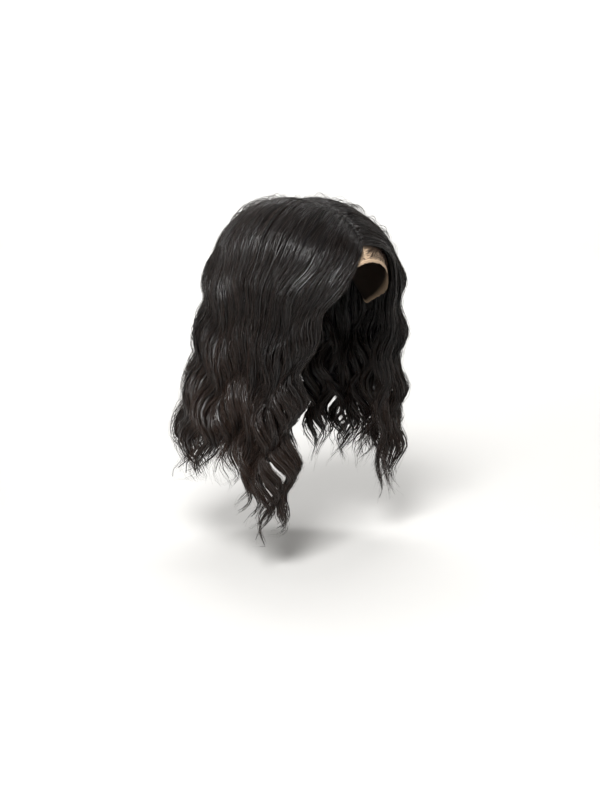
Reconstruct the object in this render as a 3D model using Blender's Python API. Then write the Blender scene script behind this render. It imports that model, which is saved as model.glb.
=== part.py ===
"""Lace front wig, shoulder length, in the form that it has when worn.

A net cap with a lace front fits a head of 22 inches. Hair in three sections is tied to it: one
section on each side of the centre part and one behind. Each section is a hollow backing of hair
that follows the cap, with its outside in wavy locks that end in free tips.

Metres, +Z up, the wearer faces -Y and the wearer's right is -X. The origin is the inside of the
cap at its top, where the head carries it.
"""

import math

import bmesh
import bpy
import numpy as np

MM = 0.001

# Head form that the cap is made to, around a centre below the origin
HEAD_HALF_WIDTH = 79 * MM
HEAD_HALF_DEPTH = 98 * MM
HEAD_HALF_HEIGHT = 97 * MM
HEAD_SQUARENESS = 2.2

# Cloth of the cap, and the gap that the pieces keep to each other
CLOTH = 1.2 * MM
GAP = 0.3 * MM
# The inside of the hair has flat faces, whose middles lie this much nearer the round cap
FLAT_SAG = 0.9 * MM
SEAM_BEHIND_TOP = 12 * MM
LACE_COLUMNS = 26
LACE_ROWS = 7
CAP_COLUMNS = 26
CAP_ROWS = 7
EAR_TAB_BEARING = 79
EAR_ARCH_BEARING = 108
SEAM_FOOT_DROP = 86 * MM

# Lower edge of the cap, the same on both sides: bearing from the front in degrees, drop in mm
CAP_EDGE_BEARING = (0, 12, 24, 31, 36, 44, 56, 67, 76, 84, 92, 104, 118, 134, 152, 180)
CAP_EDGE_DROP = (56, 60, 70, 79, 87, 96, 104, 111, 116, 106, 90, 87, 101, 128, 144, 150)

# Part line and crown that the hair falls from
PART_FRONT = (-3 * MM, -81 * MM, -41 * MM)
CROWN = (0, 26 * MM, -3 * MM)
CROWN_RADIUS = 5 * MM
# Share of the part over which it opens out to the round of the crown
CROWN_SHARE = 0.14
ROOT_HEIGHT = 3.6 * MM

# Bearings around the head: 0 is the front, 90 the wearer's right, 180 the back, 270 the left
RIGHT_EDGE = 33
RIGHT_BACK = 106
LEFT_BACK = 254
LEFT_EDGE = 319
# How much the hair at the front edges sweeps forward on the right and back on the left
SWEEP_RIGHT = 0.05
SWEEP_LEFT = -0.32

# How far the hair stands out from the head form, in mm, by drop below the origin (rows) and by
# bearing (columns)
REACH_BEARING = (50, 90, 134, 180, 226, 270, 308)
REACH_DROP = (97, 130, 165, 200, 235, 265, 300, 360)
REACH = (
    (25, 28, 30, 30, 29, 30, 30),
    (25, 29, 34, 31, 30, 33, 34),
    (25, 32, 42, 32, 32, 36, 38),
    (26, 35, 47, 34, 35, 39, 42),
    (28, 40, 61, 40, 41, 43, 46),
    (30, 42, 62, 43, 45, 45, 46),
    (28, 40, 60, 42, 43, 43, 43),
    (23, 33, 54, 38, 36, 35, 35),
)
# Inside of the hair, in mm out from the head form, by drop
INSIDE_DROP = (97, 130, 165, 200, 235, 265, 300, 360)
INSIDE = (2.4, 3, 3, 5, 10, 14, 16, 14)

# The front edges of both side sections are thin
RIGHT_EDGE_OUTSIDE = 8 * MM
LEFT_EDGE_OUTSIDE = 12 * MM
RIGHT_EDGE_INSIDE = 3.5 * MM
LEFT_EDGE_INSIDE = 6 * MM
FADE_RIGHT = 24
FADE_LEFT = 14
EDGE_DRIFT = 21
TOP_HEIGHT_FRONT = 9 * MM
TOP_HEIGHT_BACK = 15 * MM
# The hair on the left of the part lies this much flatter
TOP_LEFT_LESS = 3 * MM
TOP_RISE = 9 * MM

# Waves
WAVE_LENGTH = 52 * MM
WAVE_DROP = (0, 40, 100, 200, 280, 360)
WAVE_SIZE = (0, 1.8, 3.2, 6.0, 7.5, 6.0)
WAVE_SIDEWAYS = 0.8

# Locks
LOCKS = {"front_hair_right": 7, "front_hair_left": 7, "back_hair": 12}
LOCK_STEPS = 4
DOME_ROWS = 11
FALL_ROWS = 14
TIP_ROWS = 8
GROOVE_DROP = (-60, 0, 97, 200, 300)
GROOVE_DEPTH = (0.4, 1.2, 2.6, 4.0, 4.5)
TIP_BEARING = (45, 60, 70, 80, 95, 120, 150, 180, 210, 240, 270, 300, 315)
TIP_DROP = (344, 352, 354, 330, 306, 306, 325, 340, 336, 326, 324, 340, 346)
FREE_LENGTH = 78 * MM
TIP_THICKNESS = 1.4 * MM


def smooth_value(knots, values, where):
    """Smooth curve through a short list of knots, held level past both ends."""
    knots = np.asarray(knots, float)
    values = np.asarray(values, float)
    slopes = np.gradient(values, knots)
    x = np.clip(where, knots[0], knots[-1])
    i = np.clip(np.searchsorted(knots, x) - 1, 0, len(knots) - 2)
    span = knots[i + 1] - knots[i]
    f = (x - knots[i]) / span
    start = (1 + 2 * f) * (1 - f) ** 2 * values[i] + f * (1 - f) ** 2 * slopes[i] * span
    end = f * f * (3 - 2 * f) * values[i + 1] + f * f * (f - 1) * slopes[i + 1] * span
    return start + end


def ease(x):
    x = np.clip(x, 0, 1)
    return x * x * (3 - 2 * x)


def unit(vectors):
    return vectors / np.linalg.norm(vectors, axis=-1, keepdims=True)


def towards(bearing):
    """Level direction of a bearing in degrees."""
    angle = np.radians(bearing)
    return np.stack([-np.sin(angle), -np.cos(angle), np.zeros_like(angle)], -1)


def from_centre(point):
    """Direction of a point from the head's centre."""
    return unit(np.asarray(point, float) + np.array([0, 0, HEAD_HALF_HEIGHT]))


def turned(start, end, share):
    """Direction on the great circle from start to end."""
    angle = np.arccos(np.clip(np.sum(start * end, -1), -1, 1))[..., None]
    share = np.asarray(share)[..., None]
    mixed = np.sin((1 - share) * angle) * start + np.sin(share * angle) * end
    return mixed / np.sin(angle)


def on_head(direction, out):
    """Points at a distance out from the head form, in directions from the head's centre."""
    x, y, z = np.moveaxis(direction, -1, 0)
    flat = np.hypot(x / HEAD_HALF_WIDTH, y / HEAD_HALF_DEPTH)
    tall = np.abs(z) / HEAD_HALF_HEIGHT
    size = (flat**HEAD_SQUARENESS + tall**HEAD_SQUARENESS) ** (-1 / HEAD_SQUARENESS)
    side_pull = (flat * size) ** (HEAD_SQUARENESS - 2)
    up_pull = (tall * size) ** (HEAD_SQUARENESS - 1) * np.sign(z) / HEAD_HALF_HEIGHT
    slope_x = side_pull * x * size / HEAD_HALF_WIDTH**2
    slope_y = side_pull * y * size / HEAD_HALF_DEPTH**2
    normal = unit(np.stack([slope_x, slope_y, up_pull], -1))
    centre = np.array([0, 0, -HEAD_HALF_HEIGHT])
    return centre + direction * size[..., None] + normal * np.asarray(out)[..., None]


def add_object(name, vertices, faces, colour):
    mesh = bpy.data.meshes.new(name)
    mesh.from_pydata([tuple(v) for v in vertices], [], faces)
    shell = bmesh.new()
    shell.from_mesh(mesh)
    bmesh.ops.recalc_face_normals(shell, faces=shell.faces)
    shell.to_mesh(mesh)
    shell.free()
    material = bpy.data.materials.new(name)
    material.use_nodes = True
    material.node_tree.nodes["Principled BSDF"].inputs["Base Color"].default_value = colour
    mesh.materials.append(material)
    made = bpy.data.objects.new(name, mesh)
    bpy.context.scene.collection.objects.link(made)
    return made


def cloth_sheet(name, near, far, rows, colour):
    """Sheet of cloth on the head form between two curves of directions."""
    share = np.linspace(0, 1, rows + 1)
    grid = turned(near[:, None, :], far[:, None, :], share[None, :])
    columns = len(near)
    inner = on_head(grid, np.zeros(grid.shape[:2]))
    outer = on_head(grid, np.full(grid.shape[:2], CLOTH))
    vertices = np.concatenate([inner.reshape(-1, 3), outer.reshape(-1, 3)])

    def at(layer, column, row):
        return (layer * columns + column) * (rows + 1) + row

    faces = []
    for column in range(columns - 1):
        for row in range(rows):
            corners = ((column, row), (column + 1, row), (column + 1, row + 1), (column, row + 1))
            faces.append([at(0, *corner) for corner in corners])
            faces.append([at(1, *corner) for corner in reversed(corners)])
    rim = [(column, 0) for column in range(columns)]
    rim += [(columns - 1, row) for row in range(1, rows + 1)]
    rim += [(column, rows) for column in range(columns - 2, -1, -1)]
    rim += [(0, row) for row in range(rows - 1, 0, -1)]
    for here, after in zip(rim, rim[1:] + rim[:1]):
        faces.append([at(1, *here), at(1, *after), at(0, *after), at(0, *here)])
    return add_object(name, vertices, faces, colour)


def edge_directions(bearings):
    """Directions of points on the lower edge of the cap."""
    folded = np.where(bearings > 180, 360 - bearings, bearings)
    drop = smooth_value(CAP_EDGE_BEARING, CAP_EDGE_DROP, np.abs(folded)) * MM
    level = towards(bearings)
    rise = HEAD_HALF_HEIGHT - drop
    flat = np.hypot(level[:, 0] / HEAD_HALF_WIDTH, level[:, 1] / HEAD_HALF_DEPTH)
    tall = np.abs(rise) / HEAD_HALF_HEIGHT
    radius = (1 - tall**HEAD_SQUARENESS) ** (1 / HEAD_SQUARENESS) / flat
    points = level * radius[:, None]
    points[:, 2] = rise
    return unit(points)


def seam_directions(behind, columns):
    """Directions of points on the seam over the head from ear to ear, a distance behind the top."""
    rise = HEAD_HALF_HEIGHT - SEAM_FOOT_DROP
    foot = math.atan2(HEAD_HALF_WIDTH, rise)
    angle = np.linspace(-foot, foot, columns + 1)
    points = np.stack([np.sin(angle), np.full(columns + 1, behind), np.cos(angle)], -1)
    points[:, 1] /= HEAD_HALF_HEIGHT
    return unit(points)


def sweep_at(bearing):
    """Sideways bend of the hair's way over the dome, strongest at the two front edges."""
    right = np.clip((RIGHT_BACK - bearing) / (RIGHT_BACK - RIGHT_EDGE), 0, 1)
    left = np.clip((bearing - LEFT_BACK) / (LEFT_EDGE - LEFT_BACK), 0, 1)
    return SWEEP_RIGHT * right**1.5 + SWEEP_LEFT * left**1.5


def lengthways(root, bearing, rows):
    """Directions from the root over the dome to the level of the ears, row by row."""
    end = towards(bearing)
    level_turn = np.cross(end, np.array([0.0, 0.0, 1.0]))
    facing = np.sign(level_turn[:, 1:2])
    bend = sweep_at(bearing)[:, None] * facing * unit(np.cross(root, end))
    middle = turned(root, end, np.full(len(end), 0.5)) + bend
    share = rows[None, :, None]
    path = (1 - share) ** 2 * root[:, None, :] + share**2 * end[:, None, :]
    return unit(path + 2 * share * (1 - share) * middle[:, None, :])


def reach_at(bearing, drop):
    """Distance of the outside of the hair from the head form where it hangs."""
    table = np.array(REACH, float)
    columns = [smooth_value(REACH_DROP, table[:, i], drop / MM) for i in range(len(REACH_BEARING))]
    columns = np.stack(columns, -1)
    slopes = np.gradient(columns, np.array(REACH_BEARING, float), axis=-1)
    knots = np.array(REACH_BEARING, float)
    x = np.clip(bearing, knots[0], knots[-1])
    i = np.clip(np.searchsorted(knots, x) - 1, 0, len(knots) - 2)
    span = knots[i + 1] - knots[i]
    f = (x - knots[i]) / span

    def pick(values, index):
        return np.take_along_axis(values, index[..., None], -1)[..., 0]

    start = (1 + 2 * f) * (1 - f) ** 2 * pick(columns, i)
    start += f * (1 - f) ** 2 * pick(slopes, i) * span
    end = f * f * (3 - 2 * f) * pick(columns, i + 1)
    end += f * f * (f - 1) * pick(slopes, i + 1) * span
    return (start + end) * MM


def edge_share(bearing):
    """0 on the front edge of a side section, 1 where the hair has its full body."""
    right = (bearing - RIGHT_EDGE) / FADE_RIGHT
    return ease(np.minimum(right, (LEFT_EDGE - bearing) / FADE_LEFT))


def edge_out(bearing):
    """Inside and outside distance from the head form at the nearer front edge."""
    inside = np.where(bearing < 180, RIGHT_EDGE_INSIDE, LEFT_EDGE_INSIDE)
    outside = np.where(bearing < 180, RIGHT_EDGE_OUTSIDE, LEFT_EDGE_OUTSIDE)
    return inside, outside


def hair_out(bearing, drop, depth):
    """Distance from the head form in the hanging hair, at depth 0 on the inside to 1 outside."""
    body = edge_share(bearing)
    edge_inside, edge_outside = edge_out(bearing)
    inside = smooth_value(INSIDE_DROP, INSIDE, drop / MM) * MM
    inside = edge_inside + (inside - edge_inside) * body
    outside = edge_outside + (reach_at(bearing, drop) - edge_outside) * body
    return inside + (outside - inside) * depth


def wave(bearing, along):
    """Outward and sideways shift of the waves at a place along the hair."""
    size = smooth_value(WAVE_DROP, WAVE_SIZE, along / MM) * MM
    turn = 2 * np.pi * along / WAVE_LENGTH + 0.9 * np.sin(np.radians(2 * bearing + 30))
    turn += 0.8 * np.sin(np.radians(5 * bearing)) + 0.7 * np.sin(np.radians(13 * bearing + 50))
    return size * np.sin(turn), WAVE_SIDEWAYS * size * np.cos(turn)


def hanging_point(bearing, drop, out):
    points = on_head(towards(bearing), out)
    points[..., 2] = -drop
    return points


def drifted(bearing, drop):
    """The front edges of the side sections fall back a little below the jaw."""
    back = EDGE_DRIFT * np.clip((drop - HEAD_HALF_HEIGHT) / (130 * MM), 0, 1) ** 0.8
    right = np.clip((RIGHT_BACK - bearing) / (RIGHT_BACK - RIGHT_EDGE), 0, 1)
    left = np.clip((bearing - LEFT_BACK) / (LEFT_EDGE - LEFT_BACK), 0, 1)
    return bearing + back * right**1.5 - back * left**1.5


def groove_at(across, along):
    """Depth of the furrow between two locks, for a place across a lock from 0 to 1."""
    depth = smooth_value(GROOVE_DROP, GROOVE_DEPTH, along / MM) * MM
    return depth * np.abs(2 * across - 1) ** 2.2


def dome_points(root, bearing, across, depth):
    """Rows of points from the roots to the level of the ears."""
    rows = np.linspace(0, 1, DOME_ROWS + 1)[:-1]
    direction = lengthways(root, bearing, rows)
    length = np.arccos(np.clip(np.sum(root * towards(bearing), -1), -1, 1))
    length = (length * 1.12 * HEAD_HALF_HEIGHT)[:, None]
    run = rows[None, :] * length
    along = HEAD_HALF_HEIGHT + run - length
    bearings = bearing[:, None] + 0 * run
    body = edge_share(bearings)
    behind = np.minimum(bearings - RIGHT_EDGE, LEFT_EDGE - bearings) / (RIGHT_BACK - RIGHT_EDGE)
    top = TOP_HEIGHT_FRONT + (TOP_HEIGHT_BACK - TOP_HEIGHT_FRONT) * ease(behind)
    top = top - TOP_LEFT_LESS * ease((bearings - 200) / 60)
    full = ROOT_HEIGHT + (top - ROOT_HEIGHT) * (1 - np.exp(-run / TOP_RISE))
    level = np.full_like(run, HEAD_HALF_HEIGHT)
    full += (hair_out(bearings, level, 1.0) - top) * ease(rows[None, :] * 1.15 - 0.15)
    _, edge_outside = edge_out(bearings)
    thin = ROOT_HEIGHT + (edge_outside - ROOT_HEIGHT) * ease(rows[None, :] * 1.6)
    outside = thin + (full - thin) * body
    near = CLOTH + GAP + FLAT_SAG
    inside = near + (hair_out(bearings, level, 0.0) - near) * ease(rows[None, :])
    shift, _ = wave(bearings, along)
    outside = outside + shift * body - groove_at(across[:, None], along)
    outside = np.maximum(outside, inside + 1.2 * MM)
    out = outside if depth == 1 else inside
    return on_head(direction, out)


def fall_points(bearing, across, drop, depth):
    """Rows of points from the ears down to where the locks part."""
    bearings = drifted(bearing[:, None] + 0 * drop, drop)
    out = hair_out(bearing[:, None] + 0 * drop, drop, float(depth))
    shift, sideways = wave(bearings, drop)
    free = ease((drop - HEAD_HALF_HEIGHT - 18 * MM) / (60 * MM))
    share = 1 if depth == 1 else free
    out = out + shift * share
    if depth == 1:
        out = out - groove_at(across[:, None], drop)
    bearings = bearings + np.degrees(sideways / (110 * MM)) * free
    return hanging_point(bearings, drop, out)


def lock_tip_drop(bearing, lock):
    """Drop of a lock's tip."""
    drop = smooth_value(TIP_BEARING, TIP_DROP, bearing) * MM
    return drop + 9 * MM * math.sin(2.4 * lock + 0.6)


def split_drop(bearing):
    """Drop at which neighbouring locks part."""
    return smooth_value(TIP_BEARING, TIP_DROP, bearing) * MM - FREE_LENGTH


def tip_points(bearings, across, lock, depth):
    """Rows of points of one free lock, from where it parts to just above its tip."""
    middle = 0.5 * (bearings[0] + bearings[-1])
    start = split_drop(bearings)
    end = lock_tip_drop(middle, lock)
    rows = np.arange(1, TIP_ROWS + 1) / (TIP_ROWS + 0.6)
    drop = start[:, None] + (end - start[:, None]) * rows[None, :]
    width = (1 - rows**1.7) ** 0.8
    swing = (3.0 * math.sin(1.7 * lock + 0.4) + 5.0 * float(middle < 75)) * rows**2
    spread = middle + (bearings[:, None] - middle) * width[None, :] + swing[None, :]
    drift = drifted(spread, drop)
    inside = hair_out(spread, drop, 0.0)
    outside = hair_out(spread, drop, 1.0)
    core = inside + (outside - inside) * (0.55 + 0.2 * math.sin(3.1 * lock))
    half = (1 - rows**1.5)[None, :]
    shift, sideways = wave(drift, drop)
    if depth == 1:
        out = core + (outside - core) * half - groove_at(across[:, None], drop) * half
        out = out + 0.5 * TIP_THICKNESS
    else:
        out = core - (core - inside) * half - 0.5 * TIP_THICKNESS
    bearings = drift + np.degrees(sideways / (110 * MM))
    return hanging_point(bearings, drop, out + shift)


def tip_end(points_outer, points_inner):
    """The two points that close a lock, one on each face."""
    outer = points_outer[:, -1].mean(0)
    inner = points_inner[:, -1].mean(0)
    middle = 0.5 * (outer + inner)
    before = 0.5 * (points_outer[:, -2].mean(0) + points_inner[:, -2].mean(0))
    end = middle + 0.55 * (middle - before)
    away = unit(outer - inner) * 0.5 * TIP_THICKNESS
    return end + away, end - away


def moved_apart(grid):
    """Moves the first and last columns of a section in from its sides, to leave the gap."""
    first = unit(grid[1] - grid[0])
    last = unit(grid[-2] - grid[-1])
    grid[0] += first * 0.6 * GAP
    grid[-1] += last * 0.6 * GAP
    return grid


def hair_section(name, roots, bearings, colour):
    """One section of hair: outside in locks, inside plain, closed by its rims and the lock tips."""
    locks = LOCKS[name]
    steps = LOCK_STEPS
    across = np.tile(np.arange(steps) / steps, locks)
    across = np.append(across, 1.0)
    share = np.linspace(0, 1, FALL_ROWS + 1)
    drop = HEAD_HALF_HEIGHT + (split_drop(bearings)[:, None] - HEAD_HALF_HEIGHT) * share[None, :]
    outer = np.concatenate(
        [dome_points(roots, bearings, across, 1), fall_points(bearings, across, drop, 1)], 1
    )
    inner = np.concatenate(
        [dome_points(roots, bearings, across, 0), fall_points(bearings, across, drop, 0)], 1
    )
    outer = moved_apart(outer)
    inner = moved_apart(inner)[::steps]
    rows = outer.shape[1]
    vertices = list(outer.reshape(-1, 3)) + list(inner.reshape(-1, 3))
    base = outer.shape[0] * rows

    def out_at(column, row):
        return column * rows + row

    def in_at(lock, row):
        return base + lock * rows + row

    faces = []
    for column in range(locks * steps):
        for row in range(rows - 1):
            faces.append(
                [
                    out_at(column, row),
                    out_at(column, row + 1),
                    out_at(column + 1, row + 1),
                    out_at(column + 1, row),
                ]
            )
    for lock in range(locks):
        for row in range(rows - 1):
            faces.append(
                [
                    in_at(lock, row),
                    in_at(lock + 1, row),
                    in_at(lock + 1, row + 1),
                    in_at(lock, row + 1),
                ]
            )
        top = [out_at(lock * steps + step, 0) for step in range(steps + 1)]
        middle = steps // 2
        for step in range(middle):
            faces.append([top[step], top[step + 1], in_at(lock, 0)])
        faces.append([top[middle], in_at(lock + 1, 0), in_at(lock, 0)])
        for step in range(middle, steps):
            faces.append([top[step], top[step + 1], in_at(lock + 1, 0)])
    for row in range(rows - 1):
        faces.append([out_at(0, row), in_at(0, row), in_at(0, row + 1), out_at(0, row + 1)])
        last = locks * steps
        faces.append(
            [out_at(last, row), out_at(last, row + 1), in_at(locks, row + 1), in_at(locks, row)]
        )
    for lock in range(locks):
        span = slice(lock * steps, lock * steps + steps + 1)
        lock_bearings = bearings[span].copy()
        lock_across = np.append(across[:steps], 1.0)
        tip_out = tip_points(lock_bearings, lock_across, lock + len(name), 1)
        tip_in = tip_points(lock_bearings[::steps], lock_across[::steps], lock + len(name), 0)
        end_out, end_in = tip_end(tip_out, tip_in)
        start = len(vertices)
        vertices += list(tip_out.reshape(-1, 3)) + list(tip_in.reshape(-1, 3)) + [end_out, end_in]
        in_start = start + (steps + 1) * TIP_ROWS
        end_at = in_start + 2 * TIP_ROWS

        def tip_at(step, row, lock=lock, start=start):
            return out_at(lock * steps + step, rows - 1) if row < 0 else start + step * TIP_ROWS + row

        def back_at(side, row, lock=lock, in_start=in_start):
            return in_at(lock + side, rows - 1) if row < 0 else in_start + side * TIP_ROWS + row

        for row in range(-1, TIP_ROWS - 1):
            for step in range(steps):
                faces.append(
                    [
                        tip_at(step, row),
                        tip_at(step, row + 1),
                        tip_at(step + 1, row + 1),
                        tip_at(step + 1, row),
                    ]
                )
            faces.append([back_at(0, row), back_at(1, row), back_at(1, row + 1), back_at(0, row + 1)])
            faces.append([tip_at(0, row), back_at(0, row), back_at(0, row + 1), tip_at(0, row + 1)])
            faces.append(
                [
                    tip_at(steps, row),
                    tip_at(steps, row + 1),
                    back_at(1, row + 1),
                    back_at(1, row),
                ]
            )
        low = TIP_ROWS - 1
        for step in range(steps):
            faces.append([tip_at(step, low), end_at, tip_at(step + 1, low)])
        faces.append([back_at(0, low), back_at(1, low), end_at + 1])
        faces.append([tip_at(0, low), back_at(0, low), end_at + 1, end_at])
        faces.append([tip_at(steps, low), end_at, end_at + 1, back_at(1, low)])
    return add_object(name, vertices, faces, colour)


for old in list(bpy.data.objects):
    bpy.data.objects.remove(old)

# Lace front, cut a little outside the hairline
lace_bearing = np.linspace(-EAR_TAB_BEARING, EAR_TAB_BEARING, LACE_COLUMNS + 1)
lace_edge = edge_directions(-lace_bearing)
lace_seam = seam_directions(SEAM_BEHIND_TOP, LACE_COLUMNS)
cloth_sheet("lace_front", lace_edge, lace_seam, LACE_ROWS, (0.62, 0.47, 0.34, 1))

# Net cap behind it
cap_seam = seam_directions(SEAM_BEHIND_TOP + GAP, CAP_COLUMNS)
cap_bearing = np.linspace(EAR_ARCH_BEARING, 360 - EAR_ARCH_BEARING, CAP_COLUMNS + 1)
cloth_sheet("wig_cap", cap_seam, edge_directions(cap_bearing), CAP_ROWS, (0.02, 0.017, 0.015, 1))

# Hair
HAIR_COLOUR = (0.012, 0.009, 0.008, 1)
crown = np.array(CROWN)


def part_roots(bearings, side):
    """Roots along the part from the hairline to the crown, for bearings from front to back."""
    share = (bearings - bearings[0]) / (bearings[-1] - bearings[0])
    front = from_centre(PART_FRONT)
    end = from_centre(crown + CROWN_RADIUS * towards(bearings[-1:])[0])
    roots = turned(front[None, :], from_centre(crown)[None, :], share**0.9)
    roots[:, 0] += -side * 0.7 * GAP / HEAD_HALF_HEIGHT
    turn_off = ease((share - 1 + CROWN_SHARE) / CROWN_SHARE)[:, None]
    return unit(roots + (end - roots) * turn_off)


right_bearings = np.linspace(RIGHT_EDGE, RIGHT_BACK, LOCKS["front_hair_right"] * LOCK_STEPS + 1)
hair_section("front_hair_right", part_roots(right_bearings, 1), right_bearings, HAIR_COLOUR)

left_bearings = np.linspace(LEFT_EDGE, LEFT_BACK, LOCKS["front_hair_left"] * LOCK_STEPS + 1)
left_roots = part_roots(left_bearings, -1)
hair_section("front_hair_left", left_roots[::-1].copy(), left_bearings[::-1].copy(), HAIR_COLOUR)

back_bearings = np.linspace(RIGHT_BACK, LEFT_BACK, LOCKS["back_hair"] * LOCK_STEPS + 1)
back_roots = unit(
    crown + CROWN_RADIUS * towards(back_bearings) + np.array([0, 0, HEAD_HALF_HEIGHT])
)
hair_section("back_hair", back_roots, back_bearings, HAIR_COLOUR)
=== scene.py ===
import math

import bpy
import numpy as np
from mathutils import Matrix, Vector


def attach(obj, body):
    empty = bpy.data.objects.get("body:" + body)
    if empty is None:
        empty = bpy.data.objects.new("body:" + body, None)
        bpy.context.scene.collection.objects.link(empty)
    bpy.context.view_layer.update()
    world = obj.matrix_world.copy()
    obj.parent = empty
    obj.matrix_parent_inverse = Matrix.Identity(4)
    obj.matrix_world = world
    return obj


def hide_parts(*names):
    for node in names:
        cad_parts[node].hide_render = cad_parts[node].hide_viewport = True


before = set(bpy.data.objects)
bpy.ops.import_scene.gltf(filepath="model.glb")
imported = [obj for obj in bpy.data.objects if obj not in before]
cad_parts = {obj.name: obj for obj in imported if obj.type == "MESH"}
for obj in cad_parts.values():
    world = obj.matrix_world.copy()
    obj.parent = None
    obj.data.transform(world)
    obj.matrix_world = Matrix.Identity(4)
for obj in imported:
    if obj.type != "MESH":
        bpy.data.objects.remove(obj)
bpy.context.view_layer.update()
scene = bpy.context.scene

# Net cap
# The back of the wig is a dome of black stretch net made to a head of 22 inches. Weft tracks are
# sewn across it from ear to ear, and an elastic hem runs round its lower edge.
MM = 0.001
HEAD_HALF_WIDTH = 79 * MM
HEAD_HALF_DEPTH = 98 * MM
HEAD_HALF_HEIGHT = 97 * MM
HEAD_SQUARENESS = 2.2
SEAM_BEHIND_TOP = 12 * MM
# The edge round the face, the ears and the nape: drops in mm at bearings
CAP_EDGE_BEARING = (0, 12, 24, 31, 36, 44, 56, 67, 76, 84, 92, 104, 118, 134, 152, 180)
CAP_EDGE_DROP = (56, 60, 70, 79, 87, 96, 104, 111, 116, 106, 90, 87, 101, 128, 144, 150)
EAR_ARCH_BEARING = 108
SEAM_FOOT_DROP = 86 * MM
SEAM_GAP = 0.3 * MM
CAP_COLUMNS = 64
CAP_ROWS = 48
CAP_WIDTH = 0.30
CAP_LENGTH = 0.20
CAP_INSIDE = 0.5 * MM
CAP_OUTSIDE = 0.9 * MM
# Each track is a raised band about 6 mm wide, and the hem is a roll about 1 mm thick
TRACKS = 8
TRACK_RELIEF = 0.45 * MM
HEM_RELIEF = 0.6 * MM
HEM_START = 0.955
HEM_FULL = 0.975


def curve_between(f, span, start, start_slope, end, end_slope):
    """Smooth curve from one knot to the next, at a share of the span between them."""
    near = (1 + 2 * f) * (1 - f) ** 2 * start + f * (1 - f) ** 2 * start_slope * span
    far = f * f * (3 - 2 * f) * end + f * f * (f - 1) * end_slope * span
    return near + far


def smooth_value(knots, values, where):
    """Smooth curve through a short list of knots, held level past both ends."""
    knots = np.asarray(knots, float)
    values = np.asarray(values, float)
    slopes = np.gradient(values, knots)
    x = np.clip(where, knots[0], knots[-1])
    i = np.clip(np.searchsorted(knots, x) - 1, 0, len(knots) - 2)
    span = knots[i + 1] - knots[i]
    f = (x - knots[i]) / span
    return curve_between(f, span, values[i], slopes[i], values[i + 1], slopes[i + 1])


def ease(x):
    """Even curve from 0 at 0 to 1 at 1."""
    x = np.clip(x, 0, 1)
    return x * x * (3 - 2 * x)


def rising(values, start, end):
    """0 up to the start, 1 from the end on, and an even curve between them."""
    return ease((values - start) / (end - start))


def unit(vectors):
    """The same directions with a length of 1."""
    return vectors / np.linalg.norm(vectors, axis=-1, keepdims=True)


def towards(bearing):
    """Level direction of a bearing: 0 is the front, 90 the wearer's right, 180 the back."""
    angle = np.radians(bearing)
    return np.stack([-np.sin(angle), -np.cos(angle), np.zeros_like(angle)], -1)


def turned(start, end, share):
    """Direction on the great circle from start to end."""
    angle = np.arccos(np.clip(np.sum(start * end, -1), -1, 1))[..., None]
    share = np.asarray(share)[..., None]
    mixed = np.sin((1 - share) * angle) * start + np.sin(share * angle) * end
    return mixed / np.sin(angle)


def on_head(direction, out):
    """Points at a distance out from the head form, in directions from the head's centre."""
    x, y, z = np.moveaxis(direction, -1, 0)
    flat = np.hypot(x / HEAD_HALF_WIDTH, y / HEAD_HALF_DEPTH)
    tall = np.abs(z) / HEAD_HALF_HEIGHT
    size = (flat**HEAD_SQUARENESS + tall**HEAD_SQUARENESS) ** (-1 / HEAD_SQUARENESS)
    side_pull = (flat * size) ** (HEAD_SQUARENESS - 2)
    up_pull = (tall * size) ** (HEAD_SQUARENESS - 1) * np.sign(z) / HEAD_HALF_HEIGHT
    slope_x = side_pull * x * size / HEAD_HALF_WIDTH**2
    slope_y = side_pull * y * size / HEAD_HALF_DEPTH**2
    normal = unit(np.stack([slope_x, slope_y, up_pull], -1))
    centre = np.array([0, 0, -HEAD_HALF_HEIGHT])
    return centre + direction * size[..., None] + normal * np.asarray(out)[..., None]


def edge_directions(bearings):
    """Directions of points on the edge round the face, the ears and the nape."""
    folded = np.where(bearings > 180, 360 - bearings, bearings)
    drop = smooth_value(CAP_EDGE_BEARING, CAP_EDGE_DROP, np.abs(folded)) * MM
    level = towards(bearings)
    rise = HEAD_HALF_HEIGHT - drop
    flat = np.hypot(level[:, 0] / HEAD_HALF_WIDTH, level[:, 1] / HEAD_HALF_DEPTH)
    tall = np.abs(rise) / HEAD_HALF_HEIGHT
    radius = (1 - tall**HEAD_SQUARENESS) ** (1 / HEAD_SQUARENESS) / flat
    points = level * radius[:, None]
    points[:, 2] = rise
    return unit(points)


def seam_directions(behind, columns):
    """Directions of points on the seam over the head from ear to ear."""
    rise = HEAD_HALF_HEIGHT - SEAM_FOOT_DROP
    foot = math.atan2(HEAD_HALF_WIDTH, rise)
    angle = np.linspace(-foot, foot, columns + 1)
    points = np.stack([np.sin(angle), np.full(columns + 1, behind), np.cos(angle)], -1)
    points[:, 1] /= HEAD_HALF_HEIGHT
    return unit(points)


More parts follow.
